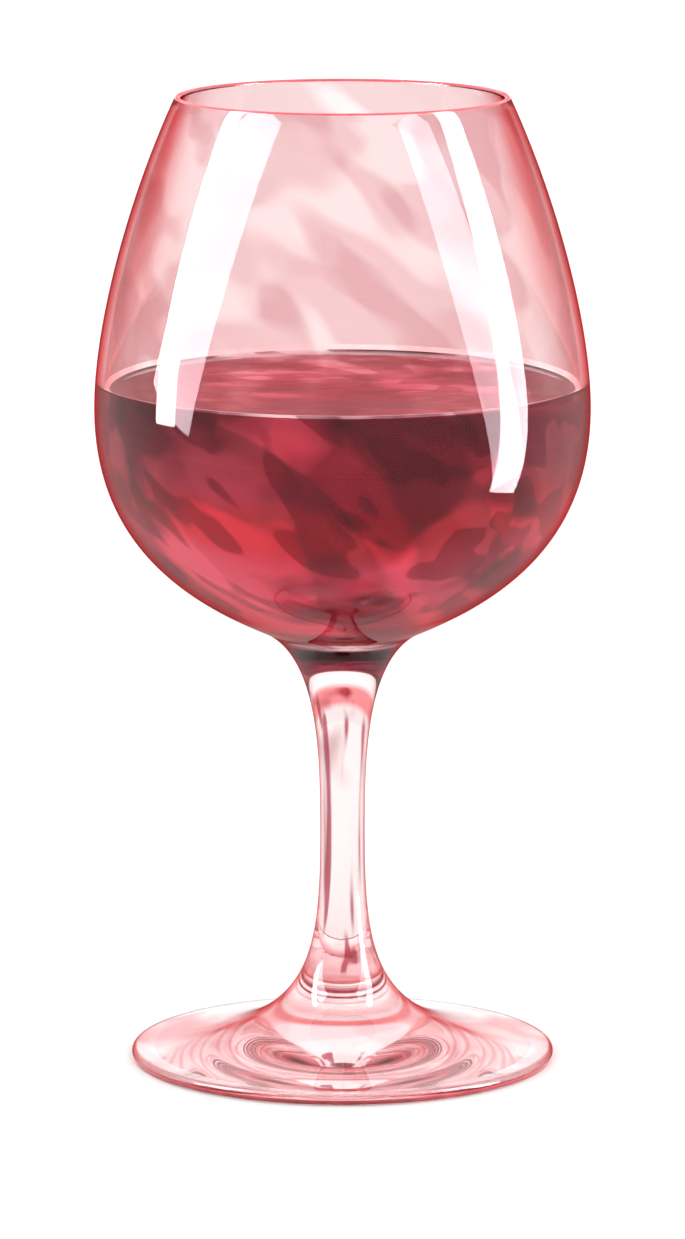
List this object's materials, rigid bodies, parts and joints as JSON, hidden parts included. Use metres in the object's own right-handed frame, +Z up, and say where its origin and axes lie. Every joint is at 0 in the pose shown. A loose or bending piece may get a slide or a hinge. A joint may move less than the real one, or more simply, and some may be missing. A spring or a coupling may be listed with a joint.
{
  "type": "glass of red wine",
  "caption": "Stemmed glass with a wide-bellied bowl that narrows to the lip, filled to its widest level with red wine, standing on a round foot.",
  "frame": {"origin": "on the axis of the glass, level with the flat ring under the foot", "axes": "+Z up along the axis of the glass"},
  "size_m": [0.1092, 0.1092, 0.215],
  "materials": {
    "clear_glass": "clear, fire-polished, with a faint rosy tint",
    "red_wine": "clear deep red liquid with a glossy surface"
  },
  "bodies": {
    "root": {"glass": "clear_glass", "wine": "red_wine"}
  },
  "joints": []
}
